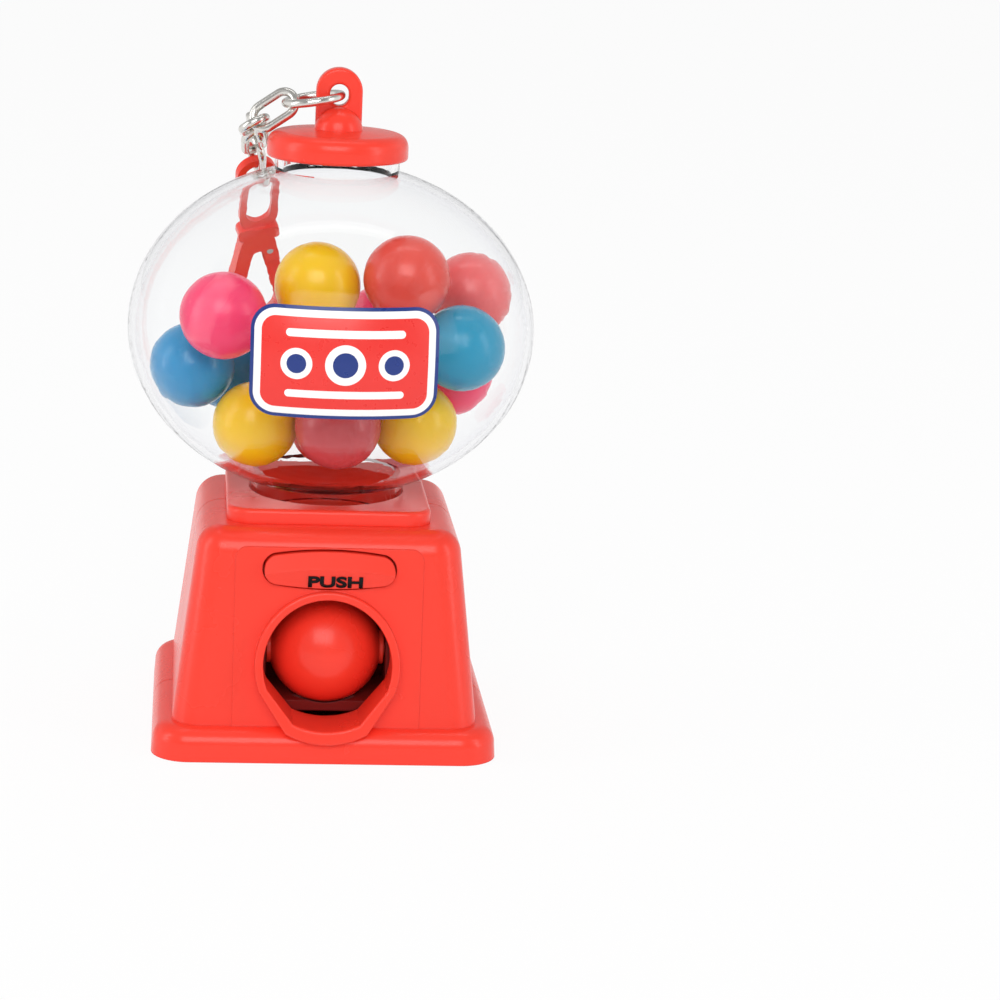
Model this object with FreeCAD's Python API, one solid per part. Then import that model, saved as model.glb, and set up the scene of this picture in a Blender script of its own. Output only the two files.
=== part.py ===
"""Key-ring gumball machine: two-part base, clear globe, cap with chain and clip, and a push-button ball gate.

The origin is the centre of the base's underside, +Z is up and the front faces -Y. All lengths are in mm.
"""
import FreeCAD
import Part
import math
import os

Vec = FreeCAD.Vector

# Base shells
BASE_HALF = 22.9          # half width of the plinth at the floor
PLINTH_H = 4.3
PLINTH_DRAFT = 0.3
PLINTH_ROUND = 2.3
PLINTH_CORNER_R = 5.0
WALL_FOOT_HALF = 20.3     # half width of the leaning walls where they leave the plinth
WALL_TOP_HALF = 17.2      # half width of the walls carried on up to the roof
WALL_CORNER_R = 3.9
BASE_H = 30.1
SHOULDER_R = 3.4
SHELL_T = 1.6
FLOOR_T = 1.8
ROOF_T = 1.8
FLOOR_HALF = 20.2         # half width of the floor plate
FLOOR_CORNER_R = 3.6
FLOOR_GAP = 0.08
PARTING_GAP = 0.2         # open line between the two shells
PANEL_HALF = 12.4         # shallow raised panel on the front
PANEL_TOP_Z = 28.0
PANEL_PROUD = 0.12
PANEL_CORNER_R = 1.6

# Screws and their bosses
SCREW_PLACES = ((-14.0, 24.0), (14.0, 24.0), (-16.0, 6.8), (16.0, 6.8))
BOSS_R = 2.2
SCREW_R = 0.8
SCREW_HOLE_GAP = 0.2
SCREW_PILOT_GAP = 0.02
SCREW_HEAD_R = 1.6
SCREW_HEAD_H = 1.2
SCREW_HEAD_GAP = 0.25
SCREW_SEAT_Y = 12.0
SCREW_DEPTH = 8.0         # length of screw in the front boss
DRIVE_SLOT = 0.4

# Chute mouth
MOUTH_R = 8.47
MOUTH_Z = 12.8
SCOOP_TOP_Z = 9.7         # height where the round mouth turns into the scoop
SCOOP_HALF = 4.4          # half width of the scoop's floor
SCOOP_SIDE_Z = 5.4
SCOOP_FLOOR_Z = 4.45
RIM_W = 1.1
RIM_TURN_Z = 9.4          # the same scoop, along the outside of the rim
RIM_SIDE_HALF = 5.4
RIM_SIDE_Z = 4.1
RIM_LOW_Z = 2.7
RIM_TOP_PROUD = 0.9       # how far the rim stands out at its top
RIM_LIP_PROUD = 3.0       # how far the lip stands out at the scoop's floor
RIM_EDGE_R = 0.3
TUNNEL_BACK_Y = -15.8

# Neck collar
COLLAR_HALF = 13.6
COLLAR_H = 1.95
COLLAR_CORNER_R = 3.4
COLLAR_EDGE_R = 0.6
SPIGOT_WALL = 0.95
SPIGOT_GAP = 0.05
SPIGOT_DEPTH = 3.0
LEDGE_T = 1.0
LEDGE_R = 8.6             # hole that the balls drop through

# Globe
GLOBE_R = 27.3
GLOBE_HALF_H = 22.4
GLOBE_LIFT = 1.7          # from the roof of the base to the full depth of the globe
GLOBE_Z = BASE_H + GLOBE_LIFT + GLOBE_HALF_H
GLOBE_T = 1.0
NECK_R = 10.45
NECK_GAP = 0.05
SPIGOT_R = NECK_R + NECK_GAP + SPIGOT_WALL
FILL_NECK_R = 8.3
FILL_NECK_LONG = 2.9      # how far the filling neck stands above the globe's full height
FILL_NECK_TOP_Z = GLOBE_Z + GLOBE_HALF_H + FILL_NECK_LONG

# Cap and eye
CAP_R = 9.4
CAP_DEPTH = 2.3           # how far the cap reaches down over the filling neck
CAP_RIM_Z = FILL_NECK_TOP_Z - CAP_DEPTH
CAP_RIM_H = 1.5
CAP_EDGE_R = 0.5
CAP_TOP_R = 7.2
CAP_SHOULDER_RISE = 3.5
CAP_SHOULDER_Z = CAP_RIM_Z + CAP_SHOULDER_RISE
CAP_CROWN = 0.5
CAP_TOP_Z = CAP_SHOULDER_Z + CAP_CROWN
CAP_GAP = 0.1
BOSS_DOME_R = 3.25
BOSS_DOME_Y = -0.5
EYE_HALF = 3.08
EYE_RISE = 7.85
EYE_TOP_Z = CAP_TOP_Z + EYE_RISE
EYE_T = 2.4
EYE_Y = 1.0
EYE_HOLE_R = 1.25
EYE_HOLE_DEPTH = 3.4      # from the top of the eye to the middle of its hole
EYE_HOLE_Z = EYE_TOP_Z - EYE_HOLE_DEPTH
EYE_HOLE_DROP = 0.35
EYE_EDGE_R = 0.45

# Ring, chain and clip
WIRE_R = 0.57
RING_R = 3.75
RING_X = -3.4
RING_DROP = 0.9           # from the middle of the eye's hole to the middle of the ring
RING_Z = EYE_HOLE_Z - RING_DROP
RING_TILT = 10.0
LINK_LENGTH = 7.6
LINK_WIDTH = 4.6
LINK_GAP = 0.25
LINK_WAYS = (
    (-0.80, 0.15, -0.58),
    (0.06, 0.97, -0.22),
    (0.05, 0.95, -0.30),
    (0.04, 0.88, -0.48),
    (0.03, 0.80, -0.60),
)
LINK_1_NORMAL = (0.0, -0.8, 0.6)
CLIP_WAY = (0.02, 0.55, -0.835)
CLIP_NORMAL = (-0.25, 0.835, 0.55)
CLIP_T = 2.6
CLIP_EYE_T = 1.3
CLIP_EYE_HALF = 2.85
CLIP_EYE_WIRE = 1.0
CLIP_EYE_LONG = 6.4
CLIP_BITE = 0.6           # how far the bar and the bow reach into their neighbours
CLIP_BAR_HALF = 3.0
CLIP_BAR_H = 2.0
CLIP_HEAD_R = 2.6
CLIP_BOW_R = 5.0
CLIP_BODY_LONG = 12.5
CLIP_LEG_T = 2.0
LEVER_T = 1.2
LEVER_GAP = 0.15
LEVER_HEAD_R = 1.2
LEVER_TIP_R = 0.8
LEVER_LONG = 9.3
LEVER_AHEAD = 1.4         # pivot's place past the middle of the bow's head, and out to the side
LEVER_ASIDE = 1.75
CLIP_PIN_R = 0.5
PIN_GAP = 0.03

# Ball gate, its cradle and the push button
BALL_R = 5.7
GATE_Y = -11.0
GATE_Z = 12.75
GATE_R = 7.6
GATE_T = 1.2
GATE_LOW = -62.0          # gate edges, in degrees up from straight ahead
GATE_HIGH = 74.0
GATE_TURN = 90.0
GATE_GAP = 0.35
SWEEP_SPARE = 4.0         # degrees of free room past the gate's edges
TRUNNION_R = 1.3
TRUNNION_GAP = 0.05
HUB_R = 2.3
CHEEK_T = 1.0
CHEEK_GAP = 0.4
CHEEK_ROUND = 4.2
CRANK_T = 0.8
CRANK_GAP = 0.2
CRANK_REACH = 2.6
CRANK_HUB_R = 2.0
CRANK_PIN_R = 0.6
SLOT_GAP = 0.16
FEED_TOP_Y = 7.9          # where the feed chute starts, under the collar
FEED_GAP = 0.3
FEED_T = 1.4
FEED_LEAN = 52.3          # slope of the feed chute, in degrees
RAMP_LEAN = 8.0
RAIL_HALF = 6.1
RAIL_H = 6.0
LEG_X = 5.6
LEG_T = 1.4

BUTTON_HALF = 8.58
BUTTON_TOP_Z = 27.6
BUTTON_LOW_Z = 22.75
BUTTON_CROWN = 0.6        # rise of the button's top and ridge at the middle
BUTTON_CORNER_X = 7.2
BUTTON_RIDGE_Z = 25.55
BUTTON_PROUD = 1.7
BUTTON_EDGE_PROUD = 0.5
BUTTON_GAP = 0.25
FLANGE_T = 1.2
FLANGE_GAP = 0.5
FLANGE_LOW_Z = 22.2
FLANGE_HIGH_Z = 26.8
ARM_T = 1.0
ARM_GAP = 0.2
ARM_DEPTH = 3.2
ARM_FOOT = 1.4            # arm below its slot

SPRING_X = 8.6
SPRING_Z = 24.8
SPRING_R = 1.2
SPRING_WIRE_R = 0.25
SPRING_TURNS = 6
SPRING_PAD_Y = -3.5
SPRING_PAD_HALF = 1.8
SPRING_SEAT = 0.02

# Gumballs in the globe: colour and the places of their centres, with heights from the globe's middle
GUMBALLS = {
    "yellow": ((-2.4, -7.0, 6.9), (-10.0, -5.4, -12.4), (11.4, -4.6, -12.0), (-3.4, 15.0, -8.6)),
    "pink": ((-14.6, -11.0, 3.2), (17.0, 4.8, -7.0), (7.4, 4.6, -0.4)),
    "blue": ((-18.6, -1.5, -5.4), (-14.0, 9.5, -7.8), (7.6, 12.0, -10.4)),
    "teal": ((16.8, -9.0, -0.6),),
    "red": ((9.2, -9.0, 8.4), (-5.0, 4.6, -2.2), (0.6, 3.0, -14.3)),
    "coral": ((19.0, 3.4, 4.6),),
    "mauve": ((0.8, -9.8, -11.4),),
}


def rounded_square(half, radius, z):
    """Closed outline of a square with round corners, flat at height z."""
    straight = half - radius
    reach = straight + radius * math.sqrt(0.5)
    edges = []
    for turn in range(4):
        spin = FreeCAD.Rotation(Vec(0, 0, 1), 90 * turn)
        start, side_end, middle, arc_end = (
            spin.multVec(Vec(x, y, z))
            for x, y in ((half, -straight), (half, straight), (reach, reach), (straight, half))
        )
        edges.append(Part.makeLine(start, side_end))
        edges.append(Part.Arc(side_end, middle, arc_end).toShape())
    return Part.Wire(edges)


def tapered_block(half_low, half_high, radius, z_low, z_high):
    """Square block with round upright corners that narrows from z_low to z_high."""
    low = rounded_square(half_low, radius, z_low)
    high = rounded_square(half_high, radius, z_high)
    return Part.makeLoft([low, high], True, True)


def level_edges(shape, z):
    """Edges of a shape that lie flat at height z."""
    return [e for e in shape.Edges if all(abs(v.Z - z) < 1e-6 for v in e.Vertexes)]


def round_top(shape, z, radius):
    """Rounds the edges at height z."""
    return shape.makeFillet(radius, level_edges(shape, z))


def wall_half(z):
    """Half width of the leaning walls at height z."""
    share = (z - PLINTH_H) / (BASE_H - PLINTH_H)
    return WALL_FOOT_HALF + (WALL_TOP_HALF - WALL_FOOT_HALF) * share


def rod_y(radius, x, z, y_from, y_to):
    """Round rod along Y."""
    return Part.makeCylinder(radius, y_to - y_from, Vec(x, y_from, z), Vec(0, 1, 0))


def rod_x(radius, x_from, x_to, y, z):
    """Round rod along X, from x_from to x_to."""
    way = 1 if x_to > x_from else -1
    return Part.makeCylinder(radius, abs(x_to - x_from), Vec(x_from, y, z), Vec(way, 0, 0))


def prism_x(points, x_from, x_to):
    """Solid with an outline in the YZ plane, from x_from to x_to."""
    corners = [Vec(x_from, y, z) for y, z in points]
    return Part.Face(Part.makePolygon(corners + corners[:1])).extrude(Vec(x_to - x_from, 0, 0))


def joined(shapes):
    """Fuses shapes into one clean solid."""
    return shapes[0].multiFuse(shapes[1:]).removeSplitter()


def box_between(low, high):
    """Box from its lowest to its highest corner."""
    size = Vec(*high) - Vec(*low)
    return Part.makeBox(size.x, size.y, size.z, Vec(*low))


def base_form(inset, z_low, z_high):
    """The leaning walls' solid, set in by a wall thickness, with round shoulders."""
    low, high = wall_half(z_low) - inset, wall_half(z_high) - inset
    block = tapered_block(low, high, WALL_CORNER_R - inset, z_low, z_high)
    return round_top(block, z_high, SHOULDER_R - inset)


def base_outside():
    """Walls, shoulders and plinth of the whole base, as one solid."""
    plinth = tapered_block(BASE_HALF, BASE_HALF - PLINTH_DRAFT, PLINTH_CORNER_R, 0, PLINTH_H)
    return base_form(0, FLOOR_T, BASE_H).fuse(round_top(plinth, PLINTH_H, PLINTH_ROUND))


def base_hollows():
    """What is cut out of the base: its inside, the seat of the floor plate and the hole for the collar."""
    inside = base_form(SHELL_T, FLOOR_T, BASE_H - ROOF_T)
    seat = FLOOR_HALF + FLOOR_GAP
    floor = tapered_block(seat, seat, FLOOR_CORNER_R + FLOOR_GAP, -FLOOR_T, FLOOR_T)
    hole = Part.makeCylinder(SPIGOT_R + SPIGOT_GAP, BASE_H, Vec(0, 0, BASE_H / 2))
    return [inside, floor, hole]


def floor_plate():
    """Plate let into the underside of both shells, flush with the rim that the machine stands on."""
    return tapered_block(FLOOR_HALF, FLOOR_HALF, FLOOR_CORNER_R, 0, FLOOR_T)


def half_space(front):
    """Box that holds everything on one side of the parting line."""
    reach = 2 * BASE_HALF
    line = -PARTING_GAP / 2 if front else PARTING_GAP / 2
    y_low, y_high = (-reach, line) if front else (line, reach)
    return box_between((-reach, y_low, -1), (reach, y_high, 2 * BASE_H))


def shell_half(front):
    """One shell of the base with its screw bosses, which meet the other shell's on the parting plane."""
    outside = base_outside()
    shell = outside.cut(base_hollows()).common(half_space(front))
    y_from, y_to = (-BASE_HALF, 0) if front else (0, BASE_HALF)
    bosses = [rod_y(BOSS_R, x, z, y_from, y_to).common(outside) for x, z in SCREW_PLACES]
    return joined([shell] + bosses)


def mouth_prism(radius, turn_z, side_x, side_z, low_z, y_to):
    """Solid of a round mouth that narrows into a scoop, from far in front to y_to."""
    y = -2 * BASE_HALF
    turn_x = math.sqrt(radius ** 2 - (turn_z - MOUTH_Z) ** 2)
    right_turn, left_turn = Vec(turn_x, y, turn_z), Vec(-turn_x, y, turn_z)
    right_side, left_side = Vec(side_x, y, side_z), Vec(-side_x, y, side_z)
    outline = Part.Wire([
        Part.Arc(right_turn, Vec(0, y, MOUTH_Z + radius), left_turn).toShape(),
        Part.makeLine(left_turn, left_side),
        Part.Arc(left_side, Vec(0, y, low_z), right_side).toShape(),
        Part.makeLine(right_side, right_turn),
    ])
    return Part.Face(outline).extrude(Vec(0, y_to - y, 0))


def mouth_opening():
    """The mouth's opening, through the front wall."""
    return mouth_prism(MOUTH_R, SCOOP_TOP_Z, SCOOP_HALF, SCOOP_SIDE_Z, SCOOP_FLOOR_Z, GATE_Y - GATE_R / 2)


def rim_front_y(z):
    """Where the sloping front of the mouth's rim lies at height z."""
    top_z = MOUTH_Z + MOUTH_R + RIM_W
    low_y = -wall_half(SCOOP_FLOOR_Z) - RIM_LIP_PROUD
    top_y = -wall_half(top_z) - RIM_TOP_PROUD
    return low_y + (top_y - low_y) * (z - SCOOP_FLOOR_Z) / (top_z - SCOOP_FLOOR_Z)


def rim_slab():
    """Everything behind the sloping plane of the rim's front."""
    low, high = -BASE_H, 2 * BASE_H
    back = 2 * BASE_HALF
    return prism_x([(rim_front_y(low), low), (back, low), (back, high), (rim_front_y(high), high)], -back, back)


def mouth_rim():
    """Raised rim and scoop lip, run back into a short tunnel, with soft front edges."""
    outside = mouth_prism(MOUTH_R + RIM_W, RIM_TURN_Z, RIM_SIDE_HALF, RIM_SIDE_Z, RIM_LOW_Z, TUNNEL_BACK_Y)
    rim = outside.common(rim_slab()).cut(mouth_opening())
    front = [
        e for e in rim.Edges
        if all(abs(v.Y - rim_front_y(v.Z)) < 1e-5 for v in e.Vertexes)
    ]
    return rim.makeFillet(RIM_EDGE_R, front)


def front_panel():
    """Shallow panel that stands a little proud of the front face, with round top corners."""
    low, high = PLINTH_H, PANEL_TOP_Z
    outline = Part.makeBox(2 * PANEL_HALF, 2 * BASE_HALF, high - low, Vec(-PANEL_HALF, -2 * BASE_HALF, low))
    corners = [
        e for e in outline.Edges
        if all(abs(v.Z - high) < 1e-6 and abs(abs(v.X) - PANEL_HALF) < 1e-6 for v in e.Vertexes)
    ]
    grown = tapered_block(
        wall_half(low) + PANEL_PROUD, wall_half(BASE_H) + PANEL_PROUD, WALL_CORNER_R, low, BASE_H)
    inner_low, inner_high = (wall_half(z) - SHELL_T / 2 for z in (low, BASE_H))
    inner = tapered_block(inner_low, inner_high, WALL_CORNER_R, low, BASE_H)
    return outline.makeFillet(PANEL_CORNER_R, corners).common(grown).cut(inner)


def crowned_edge(x, z, y, crown, up):
    """Arc from -x to x at height z that rises, or drops, by the crown at its middle."""
    rise = crown if up else -crown
    return Part.Arc(Vec(-x, y, z), Vec(0, y, z + rise), Vec(x, y, z))


def button_prism(grow, y_from, y_to):
    """Barrel-shaped outline of the button, grown all round, from y_from to y_to."""
    corner = BUTTON_CORNER_X + grow / 2
    end = BUTTON_HALF + grow
    top = BUTTON_TOP_Z - BUTTON_CROWN + grow
    low = BUTTON_LOW_Z + BUTTON_CROWN - grow
    middle = BUTTON_RIDGE_Z - BUTTON_CROWN
    outline = Part.Wire([
        crowned_edge(corner, top, y_from, BUTTON_CROWN, True).toShape(),
        Part.Arc(Vec(corner, y_from, top), Vec(end, y_from, middle), Vec(corner, y_from, low)).toShape(),
        crowned_edge(corner, low, y_from, BUTTON_CROWN, False).toShape(),
        Part.Arc(Vec(-corner, y_from, low), Vec(-end, y_from, middle), Vec(-corner, y_from, top)).toShape(),
    ])
    return Part.Face(outline).extrude(Vec(0, y_to - y_from, 0))


def screw_holes(front):
    """Clearance holes and head pockets at the back, or pilot holes at the front."""
    cuts = []
    for x, z in SCREW_PLACES:
        if front:
            cuts.append(rod_y(SCREW_R + SCREW_PILOT_GAP, x, z, -SCREW_DEPTH - DRIVE_SLOT, 1))
        else:
            cuts.append(rod_y(SCREW_R + SCREW_HOLE_GAP, x, z, -1, SCREW_SEAT_Y + 1))
            cuts.append(rod_y(SCREW_HEAD_R + SCREW_HEAD_GAP, x, z, SCREW_SEAT_Y, 2 * BASE_HALF))
    return cuts


def front_shell():
    """Front half of the base with the panel, the chute mouth and the button's slot."""
    shell = joined([shell_half(True), front_panel(), mouth_rim()])
    slot = button_prism(BUTTON_GAP, -2 * BASE_HALF, GATE_Y)
    return shell.cut([mouth_opening(), slot] + screw_holes(True)).removeSplitter()


def rear_shell():
    """Rear half of the base with the screws' pockets."""
    return shell_half(False).cut(screw_holes(False)).removeSplitter()


def shell_screws():
    """Screws from the back, one per boss, with slotted heads."""
    screws = []
    for x, z in SCREW_PLACES:
        shank = rod_y(SCREW_R, x, z, -SCREW_DEPTH, SCREW_SEAT_Y)
        head = rod_y(SCREW_HEAD_R, x, z, SCREW_SEAT_Y, SCREW_SEAT_Y + SCREW_HEAD_H)
        slot = Part.makeBox(2 * SCREW_HEAD_R, DRIVE_SLOT, DRIVE_SLOT)
        slot.translate(Vec(x - SCREW_HEAD_R, SCREW_SEAT_Y + SCREW_HEAD_H - DRIVE_SLOT, z - DRIVE_SLOT / 2))
        screws.append(joined([shank, head]).cut(slot))
    return Part.makeCompound(screws)


def neck_collar():
    """Rounded-square collar with a spigot in the roof and a ledge that carries the globe's neck."""
    top = BASE_H + COLLAR_H
    plate = tapered_block(COLLAR_HALF, COLLAR_HALF, COLLAR_CORNER_R, BASE_H, top)
    plate = round_top(plate, top, COLLAR_EDGE_R)
    spigot = Part.makeCylinder(SPIGOT_R, SPIGOT_DEPTH, Vec(0, 0, BASE_H - SPIGOT_DEPTH))
    seat = Part.makeCylinder(NECK_R + NECK_GAP, 2 * BASE_H, Vec(0, 0, neck_foot_z()))
    hole = Part.makeCylinder(LEDGE_R, 2 * BASE_H, Vec(0, 0, 0))
    return joined([plate, spigot]).cut([seat, hole])


def neck_foot_z():
    """Height of the ledge that the globe's neck stands on."""
    return BASE_H - SPIGOT_DEPTH + LEDGE_T


def globe_arc(radius, half_height, x_low, x_high):
    """Half-section arc of the globe from its lower neck to its filling neck."""
    centre = Vec(0, 0, GLOBE_Z)
    ellipse = Part.Ellipse(centre + Vec(radius, 0, 0), centre + Vec(0, 0, half_height), centre)
    return Part.ArcOfEllipse(ellipse, -math.acos(x_low / radius), math.acos(x_high / radius)).toShape()


def globe():
    """Clear flattened globe with an open neck at each end."""
    outer = globe_arc(GLOBE_R, GLOBE_HALF_H, NECK_R, FILL_NECK_R)
    inner = globe_arc(GLOBE_R - GLOBE_T, GLOBE_HALF_H - GLOBE_T, NECK_R - GLOBE_T, FILL_NECK_R - GLOBE_T)
    foot, top = neck_foot_z(), FILL_NECK_TOP_Z
    outer_low, outer_high = outer.Vertexes[0].Point, outer.Vertexes[-1].Point
    inner_low, inner_high = inner.Vertexes[0].Point, inner.Vertexes[-1].Point
    edges = Part.sortEdges([
        outer,
        inner,
        Part.makeLine(Vec(NECK_R, 0, foot), outer_low),
        Part.makeLine(Vec(NECK_R - GLOBE_T, 0, foot), inner_low),
        Part.makeLine(Vec(NECK_R, 0, foot), Vec(NECK_R - GLOBE_T, 0, foot)),
        Part.makeLine(outer_high, Vec(FILL_NECK_R, 0, top)),
        Part.makeLine(inner_high, Vec(FILL_NECK_R - GLOBE_T, 0, top)),
        Part.makeLine(Vec(FILL_NECK_R, 0, top), Vec(FILL_NECK_R - GLOBE_T, 0, top)),
    ])[0]
    section = Part.Wire(edges)
    return Part.Face(section).revolve(Vec(0, 0, 0), Vec(0, 0, 1), 360)


def eye_tab():
    """Upright arched tab with an arched hole for the ring."""
    arch_z = EYE_TOP_Z - EYE_HALF
    low = CAP_SHOULDER_Z
    y = EYE_Y - EYE_T / 2
    tab = Part.makeCylinder(EYE_HALF, EYE_T, Vec(0, y, arch_z), Vec(0, 1, 0)).fuse(
        box_between((-EYE_HALF, y, low), (EYE_HALF, y + EYE_T, arch_z))).removeSplitter()
    hole = rod_y(EYE_HOLE_R, 0, EYE_HOLE_Z, y, y + EYE_T).fuse(
        box_between((-EYE_HOLE_R, y, EYE_HOLE_Z - EYE_HOLE_DROP), (EYE_HOLE_R, y + EYE_T, EYE_HOLE_Z)))
    hole = hole.fuse(rod_y(EYE_HOLE_R, 0, EYE_HOLE_Z - EYE_HOLE_DROP, y, y + EYE_T)).removeSplitter()
    tab = tab.cut(hole)
    faces = [e for e in tab.Edges if e.BoundBox.YLength < 1e-6 and e.BoundBox.ZMin > low + 1e-6]
    faces += [e for e in tab.Edges if e.BoundBox.YLength < 1e-6 and e.BoundBox.XLength < 1e-6]
    return tab.makeFillet(EYE_EDGE_R, faces)


def bent(start, corner, end):
    """Smooth curve from start to end that heads for a corner and turns away from it."""
    curve = Part.BezierCurve()
    curve.setPoles([start, corner, end])
    return curve.toShape()


def cap():
    """Turned cap with a round rim, a boss and the eye, hollow underneath for the filling neck."""
    rim_top = CAP_RIM_Z + CAP_RIM_H
    turn_in, turn_up = Vec(CAP_R - CAP_EDGE_R, 0, CAP_RIM_Z), Vec(CAP_R, 0, CAP_RIM_Z + CAP_EDGE_R)
    widest, shoulder = Vec(CAP_R, 0, rim_top), Vec(CAP_TOP_R, 0, CAP_SHOULDER_Z)
    middle, centre = Vec(CAP_TOP_R / 2, 0, CAP_TOP_Z), Vec(0, 0, CAP_TOP_Z)
    section = Part.Wire([
        Part.makeLine(Vec(0, 0, CAP_RIM_Z), turn_in),
        bent(turn_in, Vec(CAP_R, 0, CAP_RIM_Z), turn_up),
        Part.makeLine(turn_up, widest),
        bent(widest, Vec(CAP_R, 0, CAP_SHOULDER_Z), shoulder),
        bent(shoulder, middle, centre),
        Part.makeLine(centre, Vec(0, 0, CAP_RIM_Z)),
    ])
    body = Part.Face(section).revolve(Vec(0, 0, 0), Vec(0, 0, 1), 360)
    boss = Part.makeSphere(BOSS_DOME_R, Vec(0, BOSS_DOME_Y, CAP_SHOULDER_Z), Vec(0, 0, 1), 0, 90, 360)
    bore = Part.makeCylinder(FILL_NECK_R + CAP_GAP, FILL_NECK_TOP_Z - CAP_RIM_Z, Vec(0, 0, CAP_RIM_Z))
    hole = rod_y(EYE_HOLE_R, 0, EYE_HOLE_Z - EYE_HOLE_DROP, EYE_Y - EYE_T, EYE_Y + EYE_T)
    return joined([body, boss.cut(hole), eye_tab()]).cut(bore)


def framed(shape, origin, way, normal):
    """Places a shape drawn along +X in the XY plane at an origin, along a way, with the given normal."""
    x = Vec(*way).normalize()
    z = Vec(*normal)
    z = (z - x * z.dot(x)).normalize()
    y = z.cross(x)
    placed = shape.copy()
    placed.Placement = FreeCAD.Placement(FreeCAD.Matrix(
        x.x, y.x, z.x, origin.x, x.y, y.y, z.y, origin.y, x.z, y.z, z.z, origin.z, 0, 0, 0, 1))
    return placed


def jump_ring():
    """Round wire ring that lies through the eye and leans down to the left."""
    ring = Part.makeTorus(RING_R, WIRE_R)
    lean = math.radians(RING_TILT)
    return framed(ring, ring_centre(), (math.cos(lean), 0, math.sin(lean)), (0, 0, 1))


def ring_centre():
    """Centre of the jump ring."""
    return Vec(RING_X, EYE_Y, RING_Z)


def ring_left():
    """Middle of the ring's wire at its left end, where the chain starts."""
    lean = math.radians(RING_TILT)
    return ring_centre() - Vec(math.cos(lean), 0, math.sin(lean)) * RING_R


def oval_link():
    """Oval wire link along +X, with the middle of the wire at its first end at the origin."""
    bend = LINK_WIDTH / 2 - WIRE_R
    straight = LINK_LENGTH - 2 * WIRE_R - 2 * bend
    pieces = []
    for end_x, side in ((bend, -1), (bend + straight, 1)):
        section = Part.Face(Part.Wire(Part.makeCircle(WIRE_R, Vec(end_x, bend, 0), Vec(1, 0, 0))))
        pieces.append(section.revolve(Vec(end_x, 0, 0), Vec(0, 0, -side), 180))
    for y in (-bend, bend):
        pieces.append(Part.makeCylinder(WIRE_R, straight, Vec(bend, y, 0), Vec(1, 0, 0)))
    return joined(pieces)


def chain_links():
    """Places each link so that it holds the end of the one before, square to it, and returns the last end."""
    pitch = LINK_LENGTH - 2 * WIRE_R
    overlap = 2 * WIRE_R + LINK_GAP
    held = ring_left()
    normal = Vec(*LINK_1_NORMAL)
    links = []
    for way in LINK_WAYS:
        ahead = Vec(*way).normalize()
        start = held - ahead * overlap
        links.append(framed(oval_link(), start, ahead, normal))
        flat = (normal - ahead * normal.dot(ahead)).normalize()
        held = start + ahead * pitch
        normal = flat.cross(ahead)
    return links, held


def tangent_hull(first, first_r, second, second_r):
    """Outline round two circles and the straight sides between them, in the XY plane."""
    span = second - first
    swing = math.acos((first_r - second_r) / span.Length)
    heading = math.atan2(span.y, span.x)

    def rim(centre, radius, angle):
        return centre + Vec(math.cos(angle), math.sin(angle), 0) * radius

    left, right = heading + swing, heading - swing
    return Part.Wire([
        Part.Arc(rim(first, first_r, left), rim(first, first_r, heading + math.pi),
                 rim(first, first_r, right)).toShape(),
        Part.makeLine(rim(first, first_r, right), rim(second, second_r, right)),
        Part.Arc(rim(second, second_r, right), rim(second, second_r, heading),
                 rim(second, second_r, left)).toShape(),
        Part.makeLine(rim(second, second_r, left), rim(first, first_r, left)),
    ])


def slab(outline, thickness):
    """Flat plate of an outline, centred on the XY plane."""
    plate = Part.Face(outline).extrude(Vec(0, 0, thickness))
    plate.translate(Vec(0, 0, -thickness / 2))
    return plate


def clip_places():
    """Where the clip's bar, head, bow and lever pivot lie along the clip, from the top of its eye."""
    bar = CLIP_EYE_LONG + CLIP_EYE_HALF - CLIP_BITE
    head = bar + CLIP_BAR_H + CLIP_HEAD_R - 2 * CLIP_BITE
    bow = head + CLIP_BODY_LONG
    return bar, head, bow


def lever_pivot():
    """Pivot of the clip's lever in the clip's own plane."""
    bar, head, bow = clip_places()
    return Vec(head + LEVER_AHEAD, -LEVER_ASIDE, 0)


def lever_tip():
    """Tip of the clip's lever in the clip's own plane."""
    bar, head, bow = clip_places()
    lean = math.asin((CLIP_BOW_R - CLIP_HEAD_R) / CLIP_BODY_LONG)
    return lever_pivot() + Vec(math.cos(lean), -math.sin(lean), 0) * LEVER_LONG


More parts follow.
